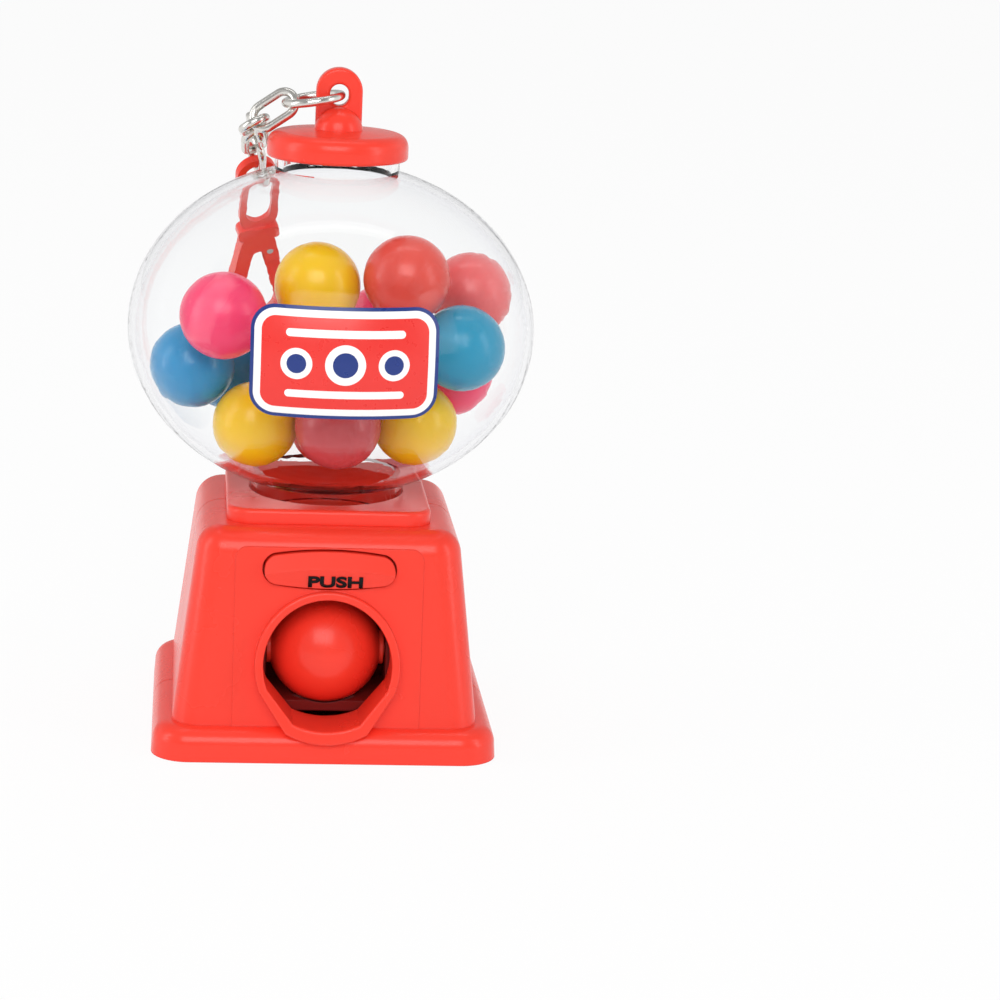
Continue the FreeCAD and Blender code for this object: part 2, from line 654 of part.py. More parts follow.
def clip_body_flat():
    """Snap clip drawn flat: oval eye, cross bar and a pear-shaped bow that is open on the lever's side."""
    bar, head, bow = clip_places()
    half = CLIP_T / 2
    eye_far = Vec(CLIP_EYE_LONG, 0, 0)
    eye = slab(tangent_hull(Vec(0, 0, 0), CLIP_EYE_HALF, eye_far, CLIP_EYE_HALF), CLIP_EYE_T)
    cross_bar = box_between((bar, -CLIP_BAR_HALF, -half), (bar + CLIP_BAR_H, CLIP_BAR_HALF, half))
    upright = [e for e in cross_bar.Edges if e.BoundBox.ZLength > half]
    cross_bar = cross_bar.makeFillet(CLIP_BITE, upright)
    bow_outline = tangent_hull(Vec(head, 0, 0), CLIP_HEAD_R, Vec(bow, 0, 0), CLIP_BOW_R)
    body = joined([eye, cross_bar, slab(bow_outline, CLIP_T)])
    near, far = Vec(head + CLIP_LEG_T, 0, 0), Vec(bow, 0, 0)
    window = tangent_hull(near, CLIP_HEAD_R - CLIP_LEG_T + CLIP_BITE / 2, far, CLIP_BOW_R - CLIP_LEG_T)
    eye_r = CLIP_EYE_HALF - CLIP_EYE_WIRE
    eye_hole = tangent_hull(Vec(0, 0, 0), eye_r, Vec(CLIP_EYE_LONG - CLIP_BITE, 0, 0), eye_r)
    pivot, tip = lever_pivot(), lever_tip()
    side = -2 * CLIP_BOW_R
    mouth = box_between(
        (pivot.x + LEVER_HEAD_R + CLIP_BITE, side, -CLIP_T),
        (tip.x + LEVER_TIP_R + LEVER_GAP, pivot.y + LEVER_HEAD_R, CLIP_T))
    fork = box_between(
        (pivot.x - LEVER_HEAD_R - LEVER_GAP, side, -LEVER_T / 2 - LEVER_GAP),
        (pivot.x + 2 * LEVER_HEAD_R, pivot.y + LEVER_HEAD_R + LEVER_GAP, LEVER_T / 2 + LEVER_GAP))
    pin_hole = Part.makeCylinder(CLIP_PIN_R, 2 * CLIP_T, pivot - Vec(0, 0, CLIP_T))
    cuts = [slab(window, 2 * CLIP_T), slab(eye_hole, 2 * CLIP_T), mouth, fork, pin_hole]
    return body.cut(cuts).removeSplitter()


def clip_lever_flat():
    """Straight sprung lever that closes the bow, drawn flat."""
    pivot, tip = lever_pivot(), lever_tip()
    lever = slab(tangent_hull(pivot, LEVER_HEAD_R, tip, LEVER_TIP_R), LEVER_T)
    return lever.cut(Part.makeCylinder(CLIP_PIN_R + PIN_GAP, 2 * CLIP_T, pivot - Vec(0, 0, CLIP_T)))


def clip_pin_flat():
    """Pin that the lever turns on, drawn flat."""
    return Part.makeCylinder(CLIP_PIN_R, CLIP_T, lever_pivot() - Vec(0, 0, CLIP_T / 2))


def clip_origin(chain_end):
    """Centre of the top round of the clip's eye, whose bar lies in the middle of the chain's last link."""
    eye_bar = chain_end - Vec(*LINK_WAYS[-1]).normalize() * (WIRE_R + LINK_GAP + CLIP_EYE_T / 2)
    return eye_bar + Vec(*CLIP_WAY).normalize() * (CLIP_EYE_HALF - CLIP_EYE_WIRE / 2)


def gate_wedge(inner, outer, low, high):
    """Part of a hollow ball about the gate's centre, between two angles up from straight ahead."""
    section = Part.Face(Part.Wire([
        Part.Arc(Vec(-outer, 0, 0), Vec(0, -outer, 0), Vec(outer, 0, 0)).toShape(),
        Part.makeLine(Vec(outer, 0, 0), Vec(inner, 0, 0)),
        Part.Arc(Vec(inner, 0, 0), Vec(0, -inner, 0), Vec(-inner, 0, 0)).toShape(),
        Part.makeLine(Vec(-inner, 0, 0), Vec(-outer, 0, 0)),
    ]))
    section.rotate(Vec(0, 0, 0), Vec(1, 0, 0), -low)
    wedge = section.revolve(Vec(0, 0, 0), Vec(1, 0, 0), low - high)
    wedge.translate(Vec(0, GATE_Y, GATE_Z))
    return wedge


def cheek_inner():
    """Distance from the middle to the inside of a cheek."""
    return GATE_R + CHEEK_GAP


def crank_inner():
    """Distance from the middle to the inside of a crank."""
    return cheek_inner() + CHEEK_T + CRANK_GAP


def arm_inner():
    """Distance from the middle to the inside of one of the button's arms."""
    return crank_inner() + CRANK_T + ARM_GAP


def ball_gate():
    """Domed gate that turns on two trunnions and shows in the mouth."""
    pieces = [gate_wedge(GATE_R - GATE_T, GATE_R, GATE_LOW, GATE_HIGH)]
    for side in (-1, 1):
        pieces.append(rod_x(HUB_R, side * (GATE_R - GATE_T), side * (GATE_R + CHEEK_GAP / 2), GATE_Y, GATE_Z))
        near, far = side * (GATE_R - GATE_T), side * (crank_inner() + CRANK_T)
        pieces.append(rod_x(TRUNNION_R, near, far, GATE_Y, GATE_Z))
    return joined(pieces)


def crank_pin_place(share):
    """Height and depth of the crank pin when the gate has made a share of its turn."""
    angle = math.radians(GATE_TURN * (0.5 - share))
    return GATE_Y - CRANK_REACH * math.sin(angle), GATE_Z + CRANK_REACH * math.cos(angle)


def gate_crank(side):
    """Crank on one end of the gate, with a pin for the button's arm."""
    y, z = crank_pin_place(0)
    inner, outer = side * crank_inner(), side * (crank_inner() + CRANK_T)
    outline = tangent_hull(Vec(GATE_Y, GATE_Z, 0), CRANK_HUB_R, Vec(y, z, 0), CRANK_PIN_R * 1.5)
    plate = Part.Face(outline).extrude(Vec(0, 0, CRANK_T))
    plate = framed_yz(plate, min(inner, outer))
    pin = rod_x(CRANK_PIN_R, inner, side * (arm_inner() + ARM_T), y, z)
    bore = rod_x(TRUNNION_R, side * cheek_inner(), 2 * outer, GATE_Y, GATE_Z)
    return joined([plate, pin]).cut(bore)


def framed_yz(shape, x):
    """Turns a shape drawn in XY so that its X lies along Y and its Y along Z, starting at x."""
    turned = shape.copy()
    turned.Placement = FreeCAD.Placement(FreeCAD.Matrix(0, 0, 1, x, 1, 0, 0, 0, 0, 1, 0, 0, 0, 0, 0, 1))
    return turned


def feed_floor_points():
    """Line of the feed chute's floor and the ramp, from under the collar to the gate, as Y and Z."""
    lean, tilt = math.radians(FEED_LEAN), math.radians(RAMP_LEAN)
    off = BALL_R + FEED_GAP
    side_y, side_z = GATE_Y + off * math.sin(lean), GATE_Z - off * math.cos(lean)
    top = (FEED_TOP_Y, side_z + (FEED_TOP_Y - side_y) * math.tan(lean))
    ramp_z = GATE_Z - BALL_R
    steep, flat = math.tan(lean), math.tan(tilt)
    bend_y = (ramp_z - side_z + side_y * steep - GATE_Y * flat) / (steep - flat)
    bend = (bend_y, ramp_z + (bend_y - GATE_Y) * math.tan(tilt))
    front_y = GATE_Y - GATE_R
    front = (front_y, ramp_z + (front_y - GATE_Y) * math.tan(tilt))
    return top, bend, front


def chute_cradle():
    """Feed chute, exit ramp, cheeks with the gate's bearings, spring pads and feet, as one moulding."""
    top, bend, front = feed_floor_points()
    lean = math.radians(FEED_LEAN)
    normal_y, normal_z = -math.sin(lean), math.cos(lean)
    outer = cheek_inner() + CHEEK_T
    under = [(front[0], front[1] - FEED_T), (bend[0], bend[1] - FEED_T),
             (bend[0] + FEED_T, bend[1] - FEED_T / 2), (top[0] + FEED_T, top[1])]
    pieces = [prism_x([top, bend, front] + under, -outer, outer)]
    for side in (-1, 1):
        rail = [top, bend, (bend[0] + RAIL_H * normal_y, bend[1] + RAIL_H * normal_z),
                (top[0] + RAIL_H * normal_y, top[1] + RAIL_H * normal_z)]
        pieces.append(prism_x(rail, side * RAIL_HALF, side * outer))
        pieces.append(rod_x(CHEEK_ROUND, side * cheek_inner(), side * outer, GATE_Y, GATE_Z))
        web = [(GATE_Y - CHEEK_ROUND, GATE_Z), (GATE_Y - CHEEK_ROUND, front[1]), bend,
               (bend[0] + RAIL_H * normal_y, bend[1] + RAIL_H * normal_z), (GATE_Y + CHEEK_ROUND, GATE_Z)]
        pieces.append(prism_x(web, side * cheek_inner(), side * outer))
        pad_x = side * SPRING_X
        pieces.append(box_between(
            (pad_x - SPRING_PAD_HALF, SPRING_PAD_Y, SPRING_Z - SPRING_PAD_HALF),
            (pad_x + SPRING_PAD_HALF, SPRING_PAD_Y + 2 * SPRING_PAD_HALF + FEED_T, SPRING_Z + SPRING_PAD_HALF)))
        leg = [(GATE_Y, FLOOR_T), (top[0], FLOOR_T), (top[0], top[1] - FEED_T),
               (bend[0] + FEED_T, bend[1] - FEED_T / 2), (GATE_Y, front[1])]
        pieces.append(prism_x(leg, side * LEG_X, side * (LEG_X + LEG_T)))
    roof_z = BASE_H - SPIGOT_DEPTH - FEED_GAP
    roof = box_between((-2 * outer, -BASE_HALF, roof_z), (2 * outer, BASE_HALF, 2 * BASE_H))
    low, high = GATE_LOW - SWEEP_SPARE, GATE_HIGH + GATE_TURN + SWEEP_SPARE
    sweep = gate_wedge(GATE_R - GATE_T - GATE_GAP, GATE_R + GATE_GAP, low, high)
    nose = box_between((-2 * outer, -BASE_HALF, 0), (2 * outer, TUNNEL_BACK_Y + CHEEK_GAP, BASE_H))
    bore = rod_x(TRUNNION_R + TRUNNION_GAP, -2 * outer, 2 * outer, GATE_Y, GATE_Z)
    hubs = rod_x(HUB_R + GATE_GAP, -cheek_inner(), cheek_inner(), GATE_Y, GATE_Z)
    return joined(pieces).cut([roof, sweep, nose, bore, hubs]).removeSplitter()


def button_travel():
    """How far the button moves while the gate makes its turn."""
    return crank_pin_place(1)[0] - crank_pin_place(0)[0]


def flange_front_y():
    """Front of the flange that keeps the button inside the wall."""
    return -wall_half(FLANGE_HIGH_Z) + SHELL_T + FLANGE_GAP


def button_head():
    """Barrel-shaped head with an arched ridge."""
    back = flange_front_y()
    ridge_y = -wall_half(BUTTON_RIDGE_Z) - BUTTON_PROUD
    top_y = -wall_half(BUTTON_TOP_Z) - BUTTON_EDGE_PROUD
    low_y = -wall_half(BUTTON_LOW_Z) - BUTTON_EDGE_PROUD
    above, below = BUTTON_TOP_Z + 1, BUTTON_LOW_Z - 1
    section = [Vec(0, back, below), Vec(0, low_y, below), Vec(0, low_y, BUTTON_LOW_Z),
               Vec(0, ridge_y, BUTTON_RIDGE_Z), Vec(0, top_y, BUTTON_TOP_Z), Vec(0, top_y, above),
               Vec(0, back, above)]
    radius = (BUTTON_CORNER_X ** 2 + BUTTON_CROWN ** 2) / (2 * BUTTON_CROWN)
    spread = 2 * math.degrees(math.asin(BUTTON_HALF / radius))
    face = Part.Face(Part.makePolygon(section + section[:1]))
    pivot = Vec(0, 0, BUTTON_RIDGE_Z - radius)
    face.rotate(pivot, Vec(0, 1, 0), -spread)
    wedge = face.revolve(pivot, Vec(0, 1, 0), 2 * spread)
    return wedge.common(button_prism(0, ridge_y - 1, back))


def push_button():
    """Push bar with a flange inside the wall and two slotted arms that work the cranks."""
    front = flange_front_y()
    back = front + FLANGE_T
    outer = arm_inner() + ARM_T
    pieces = [button_head(), box_between((-outer, front, FLANGE_LOW_Z), (outer, back, FLANGE_HIGH_Z))]
    y, z_low = crank_pin_place(0)
    z_high = crank_pin_place(0.5)[1]
    room = CRANK_PIN_R + SLOT_GAP
    foot_z = z_low - room - ARM_FOOT
    arm = [(front, FLANGE_HIGH_Z), (back + FLANGE_T, FLANGE_HIGH_Z),
           (y + ARM_DEPTH / 2, GATE_Z + GATE_R + GATE_GAP), (y + ARM_DEPTH / 2, foot_z),
           (y - ARM_DEPTH / 2, foot_z), (y - ARM_DEPTH / 2, GATE_Z + GATE_R), (front, FLANGE_LOW_Z)]
    cuts = []
    for side in (-1, 1):
        inner, far = side * arm_inner(), side * outer
        pieces.append(prism_x(arm, inner, far))
        slot = tangent_hull(Vec(y, z_low, 0), room, Vec(y, z_high, 0), room)
        cut = framed_yz(Part.Face(slot).extrude(Vec(0, 0, 2 * ARM_T)), min(inner, far) - ARM_T / 2)
        cuts.append(cut)
    return joined(pieces).cut(cuts)


def biarc(start, start_way, end, end_way):
    """Two tangent arcs between two points with given headings."""
    span = end - start
    ways = start_way + end_way
    turn = 1 - start_way.dot(end_way)
    pull = (-span.dot(ways) + math.sqrt(span.dot(ways) ** 2 + 2 * turn * span.dot(span))) / (2 * turn)
    joint = (start + start_way * pull + end - end_way * pull) * 0.5
    arcs = []
    for near, corner, far in ((start, start + start_way * pull, joint), (joint, end - end_way * pull, end)):
        chord = (near + far) * 0.5
        half_turn = (near - corner).normalize().dot((chord - corner).normalize())
        bulge = (1 - math.sqrt(1 - half_turn ** 2)) / half_turn
        middle = chord + (corner - chord) * ((near - chord).Length * bulge / (corner - chord).Length)
        arcs.append(Part.Arc(near, middle, far).toShape())
    return arcs


def coil_spring(y_from, y_to):
    """Coil spring along Y at the origin, made of quarter turns."""
    length = y_to - y_from - 2 * SPRING_WIRE_R - 2 * SPRING_SEAT
    steps = 4 * SPRING_TURNS
    rise = length / steps
    climb = rise * 2 / math.pi

    def place(step):
        angle = step * math.pi / 2
        y = y_from + SPRING_SEAT + SPRING_WIRE_R + rise * step
        point = Vec(SPRING_R * math.cos(angle), y, SPRING_R * math.sin(angle))
        way = Vec(-SPRING_R * math.sin(angle), climb, SPRING_R * math.cos(angle)).normalize()
        return point, way

    edges = []
    for step in range(steps):
        edges += biarc(*place(step), *place(step + 1))
    start, way = place(0)
    section = Part.Wire(Part.makeCircle(SPRING_WIRE_R, start, way))
    print("spring: gap between turns", round(4 * rise - 2 * SPRING_WIRE_R, 2), "mm")
    return Part.Wire(edges).makePipeShell([section], True, False)


def button_spring(side):
    """Return spring between the button's flange and its pad on the cradle."""
    spring = coil_spring(flange_front_y() + FLANGE_T, SPRING_PAD_Y)
    spring.translate(Vec(side * SPRING_X, 0, SPRING_Z))
    return spring


def gumballs(places):
    """Loose gumballs of one colour."""
    balls = [Part.makeSphere(BALL_R, Vec(x, y, GLOBE_Z + rise)) for x, y, rise in places]
    return balls[0] if len(balls) == 1 else Part.makeCompound(balls)


def build():
    """All pieces by name."""
    links, chain_end = chain_links()
    clip_at = clip_origin(chain_end)
    parts = {
        "front_shell": front_shell(),
        "rear_shell": rear_shell(),
        "floor_plate": floor_plate(),
        "shell_screws": shell_screws(),
        "neck_collar": neck_collar(),
        "globe": globe(),
        "cap": cap(),
        "jump_ring": jump_ring(),
        "clip_body": framed(clip_body_flat(), clip_at, CLIP_WAY, CLIP_NORMAL),
        "clip_lever": framed(clip_lever_flat(), clip_at, CLIP_WAY, CLIP_NORMAL),
        "clip_pin": framed(clip_pin_flat(), clip_at, CLIP_WAY, CLIP_NORMAL),
        "push_button": push_button(),
        "ball_gate": ball_gate(),
        "gate_crank_left": gate_crank(-1),
        "gate_crank_right": gate_crank(1),
        "chute_cradle": chute_cradle(),
        "button_spring_left": button_spring(-1),
        "button_spring_right": button_spring(1),
    }
    for number, link in enumerate(links, 1):
        parts["chain_link_%d" % number] = link
    for colour, places in GUMBALLS.items():
        parts["gumballs_" + colour] = gumballs(places)
    return parts


os.makedirs("parts", exist_ok=True)
for name, shape in build().items():
    shape.exportStep("parts/%s.step" % name)
print("button travel", round(button_travel(), 3), "mm")
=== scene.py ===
"""Looks of the pocket gumball machine: moulded red base, clear globe, gumballs, plated chain and printed plaque."""

import logging
import math
from dataclasses import dataclass
from enum import Enum

import bpy
from mathutils import Matrix, Vector


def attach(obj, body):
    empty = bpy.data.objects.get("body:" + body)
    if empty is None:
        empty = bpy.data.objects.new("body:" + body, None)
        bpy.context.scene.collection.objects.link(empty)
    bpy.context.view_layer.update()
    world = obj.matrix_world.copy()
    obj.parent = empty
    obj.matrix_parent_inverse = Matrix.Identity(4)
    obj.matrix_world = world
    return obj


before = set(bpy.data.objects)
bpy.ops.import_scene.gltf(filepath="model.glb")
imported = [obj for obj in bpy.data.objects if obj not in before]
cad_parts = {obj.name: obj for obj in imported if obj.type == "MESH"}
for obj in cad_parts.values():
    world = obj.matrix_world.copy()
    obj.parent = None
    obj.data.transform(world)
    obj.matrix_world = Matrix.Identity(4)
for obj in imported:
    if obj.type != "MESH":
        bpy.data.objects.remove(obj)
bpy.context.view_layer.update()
LOG = logging.getLogger("gumball_machine")
MM = 0.001
Colour = tuple[float, float, float]
Source = bpy.types.NodeSocket | float
Paint = bpy.types.NodeSocket | Colour


class Gum(Enum):
    """Gumball nodes and their glaze colours, as linear red, green and blue."""

    YELLOW = ("gumballs_yellow", (0.93, 0.57, 0.004))
    PINK = ("gumballs_pink", (0.97, 0.050, 0.165))
    BLUE = ("gumballs_blue", (0.018, 0.28, 0.57))
    TEAL = ("gumballs_teal", (0.008, 0.29, 0.48))
    RED = ("gumballs_red", (0.78, 0.080, 0.058))
    CORAL = ("gumballs_coral", (0.84, 0.13, 0.13))
    MAUVE = ("gumballs_mauve", (0.60, 0.070, 0.080))


def srgb(red: int, green: int, blue: int) -> Colour:
    """Turns a display colour into linear light.

    Args:
        red: Red, 0 to 255.
        green: Green, 0 to 255.
        blue: Blue, 0 to 255.

    Returns:
        Linear red, green and blue.
    """
    def linear(value: int) -> float:
        """One channel in linear light."""
        share = value / 255
        return share / 12.92 if share <= 0.04045 else ((share + 0.055) / 1.055) ** 2.4
    return linear(red), linear(green), linear(blue)


def new_node(tree: bpy.types.NodeTree, kind: str, **settings: object) -> bpy.types.Node:
    """Adds a node and sets its properties.

    Args:
        tree: Node tree that gets the node.
        kind: Node type without its ShaderNode prefix.
        settings: Properties of the node by name.

    Returns:
        The new node.
    """
    node = tree.nodes.new("ShaderNode" + kind)
    for name, value in settings.items():
        setattr(node, name, value)
    return node


def math_node(tree: bpy.types.NodeTree, operation: str, *inputs: Source) -> bpy.types.NodeSocket:
    """Adds a math node fed by sockets or numbers.

    Args:
        tree: Node tree that gets the node.
        operation: Math operation.
        inputs: A socket or a number for each input in order.

    Returns:
        The node's result.
    """
    node = new_node(tree, "Math", operation=operation)
    for socket, value in zip(node.inputs, inputs):
        if isinstance(value, bpy.types.NodeSocket):
            tree.links.new(value, socket)
        else:
            socket.default_value = value
    return node.outputs[0]


def mix_colour(tree: bpy.types.NodeTree, factor: Source, first: Paint, second: Paint) -> bpy.types.NodeSocket:
    """Mixes two colours, each a socket or a colour.

    Args:
        tree: Node tree that gets the node.
        factor: Socket or number that picks the second colour.
        first: Colour at factor 0.
        second: Colour at factor 1.

    Returns:
        The mixed colour.
    """
    node = new_node(tree, "Mix", data_type="RGBA")
    for index, value in ((0, factor), (6, first), (7, second)):
        socket = node.inputs[index]
        if isinstance(value, bpy.types.NodeSocket):
            tree.links.new(value, socket)
        else:
            socket.default_value = value if index == 0 else (*value, 1.0)
    return node.outputs[2]


class SkinGroup:
    """Shader node group for the small unevenness of a moulded, plated or glazed skin."""

    NAME = "UnevenSkin"
    INPUTS = (("Colour", "NodeSocketColor"), ("Dark Colour", "NodeSocketColor"), ("Patch Scale", "NodeSocketFloat"),
              ("Roughness", "NodeSocketFloat"), ("Roughness Spread", "NodeSocketFloat"),
              ("Grain Scale", "NodeSocketFloat"), ("Grain Height", "NodeSocketFloat"),
              ("Edge Radius", "NodeSocketFloat"))

    def __init__(self) -> None:
        """Builds the group once."""
        self.tree = bpy.data.node_groups.new(self.NAME, "ShaderNodeTree")
        for name, kind in self.INPUTS:
            self.tree.interface.new_socket(name, in_out="INPUT", socket_type=kind)
        outputs = (("Colour", "NodeSocketColor"), ("Roughness", "NodeSocketFloat"), ("Normal", "NodeSocketVector"))
        for name, kind in outputs:
            self.tree.interface.new_socket(name, in_out="OUTPUT", socket_type=kind)
        self._wire()

    def _wire(self) -> None:
        """Places and links the nodes inside the group."""
        tree = self.tree
        source = tree.nodes.new("NodeGroupInput").outputs
        sink = tree.nodes.new("NodeGroupOutput").inputs
        place = new_node(tree, "TexCoord").outputs["Object"]
        patches = new_node(tree, "TexNoise")
        grain = new_node(tree, "TexNoise")
        patches.inputs["Detail"].default_value = 4.0
        grain.inputs["Detail"].default_value = 2.0
        for noise, scale in ((patches, "Patch Scale"), (grain, "Grain Scale")):
            tree.links.new(place, noise.inputs["Vector"])
            tree.links.new(source[scale], noise.inputs["Scale"])
        patch = patches.outputs["Fac"]
        tree.links.new(mix_colour(tree, patch, source["Colour"], source["Dark Colour"]), sink["Colour"])
        swing = math_node(tree, "MULTIPLY", math_node(tree, "SUBTRACT", patch, 0.5), source["Roughness Spread"])
        tree.links.new(math_node(tree, "ADD", source["Roughness"], swing), sink["Roughness"])
        edges = new_node(tree, "Bevel", samples=4)
        tree.links.new(source["Edge Radius"], edges.inputs["Radius"])
        bump = new_node(tree, "Bump")
        tree.links.new(edges.outputs["Normal"], bump.inputs["Normal"])
        bump.inputs["Strength"].default_value = 1.0
        tree.links.new(source["Grain Height"], bump.inputs["Distance"])
        tree.links.new(grain.outputs["Fac"], bump.inputs["Height"])
        tree.links.new(bump.outputs["Normal"], sink["Normal"])


@dataclass(frozen=True)
class SkinFinish:
    """Opaque finish built on the uneven-skin group.

    The dark colour is reached where the patches are strongest, and heights are in metres.
    """

    name: str
    colour: Colour
    darken: float = 0.9
    patch_scale: float = 90.0
    roughness: float = 0.3
    roughness_spread: float = 0.12
    grain_scale: float = 2500.0
    grain_height: float = 0.000004
    metallic: float = 0.0
    coat: float = 0.0
    specular: float = 0.5
    subsurface: float = 0.0
    edge_radius: float = 0.0002

    def material(self, skin: SkinGroup) -> bpy.types.Material:
        """Builds the material.

        Args:
            skin: The shared node group.

        Returns:
            The finished material.
        """
        material = bpy.data.materials.new(self.name)
        material.use_nodes = True
        tree = material.node_tree
        shader = tree.nodes["Principled BSDF"]
        group = new_node(tree, "Group", node_tree=skin.tree)
        dark = tuple(channel * self.darken for channel in self.colour)
        values = ((*self.colour, 1.0), (*dark, 1.0), self.patch_scale, self.roughness, self.roughness_spread,
                  self.grain_scale, self.grain_height, self.edge_radius)
        for socket, value in zip(group.inputs, values):
            socket.default_value = value
        for output, target in (("Colour", "Base Color"), ("Roughness", "Roughness"), ("Normal", "Normal")):
            tree.links.new(group.outputs[output], shader.inputs[target])
        shader.inputs["Metallic"].default_value = self.metallic
        shader.inputs["Coat Weight"].default_value = self.coat
        shader.inputs["Coat Roughness"].default_value = 0.06
        shader.inputs["Specular IOR Level"].default_value = self.specular
        shader.inputs["Subsurface Weight"].default_value = self.subsurface
        shader.inputs["Subsurface Scale"].default_value = 1.5 * MM
        return material


@dataclass(frozen=True)
class ClearFinish:
    """Clear plastic shell: lets light through to what is inside it, and lets rays trapped in its wall go on; its colour
    turns to a grey-lilac painted shade where the surface is seen edge-on, along the outline.
    """

    name: str = "ClearShell"
    tint: Colour = (0.985, 0.99, 0.992)
    # Grey-lilac painted shade along the globe's outline, where the surface is seen edge-on.
    outline_painted_shade: Colour = (0.66, 0.65, 0.72)
    ior: float = 1.2
    deepest: float = 7.0

    def material(self) -> bpy.types.Material:
        """Builds the material.

        Returns:
            The finished material.
        """
        material = bpy.data.materials.new(self.name)
        material.use_nodes = True
        tree = material.node_tree
        shader = tree.nodes["Principled BSDF"]
        # Painted shade: the colour darkens towards the grey-lilac where the surface is seen edge-on, along the globe's
        # outline.
        slant = new_node(tree, "LayerWeight")
        slant.inputs["Blend"].default_value = 0.5
        edge = math_node(tree, "POWER", slant.outputs["Facing"], 5.0)
        tree.links.new(mix_colour(tree, edge, self.tint, self.outline_painted_shade), shader.inputs["Base Color"])
        shader.inputs["Transmission Weight"].default_value = 1.0
        shader.inputs["IOR"].default_value = self.ior
        waves = new_node(tree, "TexNoise")
        waves.inputs["Scale"].default_value = 110.0
        tree.links.new(new_node(tree, "TexCoord").outputs["Object"], waves.inputs["Vector"])
        tree.links.new(math_node(tree, "MULTIPLY", waves.outputs["Fac"], 0.03), shader.inputs["Roughness"])
        see_through = new_node(tree, "BsdfTransparent")
        see_through.inputs["Color"].default_value = (*self.tint, 1.0)
        path = new_node(tree, "LightPath").outputs
        unlit = math_node(tree, "MAXIMUM", path["Is Shadow Ray"], path["Is Diffuse Ray"])
        unlit = math_node(tree, "MAXIMUM", unlit, math_node(tree, "GREATER_THAN", path["Ray Depth"], self.deepest))
        blend = new_node(tree, "MixShader")
        tree.links.new(unlit, blend.inputs["Fac"])
        tree.links.new(shader.outputs[0], blend.inputs[1])
        tree.links.new(see_through.outputs[0], blend.inputs[2])
        tree.links.new(blend.outputs[0], tree.nodes["Material Output"].inputs["Surface"])
        return material


@dataclass(frozen=True)
class PlaqueFinish:
    """Printed plaque: bordered field with a row of discs between two bars, drawn by place on the piece."""

    name: str = "PrintedPlaque"
    field: Colour = srgb(236, 52, 46)
    light: Colour = srgb(250, 249, 247)
    edge: Colour = srgb(24, 52, 128)

    def _inside_box(self, tree: bpy.types.NodeTree, place: bpy.types.NodeSocket, centre: Vector, half: Vector,
                    corner: float) -> bpy.types.NodeSocket:
        """Mask that is 1 inside a round-cornered box seen from the front.

        Args:
            tree: Node tree of the material.
            place: Object coordinates.
            centre: Box centre.
            half: Half sizes of the box.
            corner: Corner radius.

        Returns:
            The mask.
        """
        def vector(operation: str, first: bpy.types.NodeSocket,
                   second: Vector | Colour | None = None) -> bpy.types.Node:
            """Vector math node with one socket and an optional fixed vector."""
            node = new_node(tree, "VectorMath", operation=operation)
            tree.links.new(first, node.inputs[0])
            if second is not None:
                node.inputs[1].default_value = second
            return node
        flat = vector("MULTIPLY", vector("SUBTRACT", place, centre).outputs[0], (1.0, 0.0, 1.0)).outputs[0]
        folded = vector("ABSOLUTE", flat).outputs[0]
        past = vector("SUBTRACT", folded, (half.x - corner, 0.0, half.z - corner)).outputs[0]
        reach = vector("LENGTH", vector("MAXIMUM", past, (0.0, 0.0, 0.0)).outputs[0]).outputs["Value"]
        return math_node(tree, "LESS_THAN", reach, corner)

    def material(self, plaque: "Plaque") -> bpy.types.Material:
        """Builds the material.

        Args:
            plaque: The plaque that carries the print, for its sizes.

        Returns:
            The finished material.
        """
        material = bpy.data.materials.new(self.name)
        material.use_nodes = True
        tree = material.node_tree
        shader = tree.nodes["Principled BSDF"]
        place = new_node(tree, "TexCoord").outputs["Object"]
        centre = Vector((plaque.centre_x, 0.0, plaque.centre_z))
        half = Vector((plaque.half_width, 0.0, plaque.half_height))
        colour = mix_colour(tree, 0.0, self.edge, self.edge)
        layers = [(centre, half - Vector((1, 0, 1)) * plaque.edge_width, plaque.corner - plaque.edge_width, self.light),
                  (centre, half - Vector((1, 0, 1)) * plaque.band_width, plaque.corner - plaque.band_width, self.field)]
        for offset in plaque.bar_offsets:
            bar = centre + Vector((0, 0, offset))
            layers.append((bar, Vector((plaque.bar_half, 0, plaque.bar_thick)), plaque.bar_thick, self.light))
        for offset, radius in plaque.discs:
            disc = centre + Vector((offset, 0, 0))
            layers.append((disc, Vector((radius, 0, radius)), radius, self.light))
            layers.append((disc, Vector((1, 0, 1)) * radius * 0.62, radius * 0.62, self.edge))
        for spot, reach, corner, paint in layers:
            colour = mix_colour(tree, self._inside_box(tree, place, spot, reach, corner), colour, paint)
        tree.links.new(colour, shader.inputs["Base Color"])
        ink = new_node(tree, "TexNoise")
        ink.inputs["Scale"].default_value = 900.0
        tree.links.new(place, ink.inputs["Vector"])
        tree.links.new(math_node(tree, "ADD", math_node(tree, "MULTIPLY", ink.outputs["Fac"], 0.15), 0.22),
                       shader.inputs["Roughness"])
        return material


RED = SkinFinish("RedPlastic", srgb(247, 63, 46), 0.95, roughness=0.26, grain_height=0.0000015, coat=0.04,
                 specular=0.34)
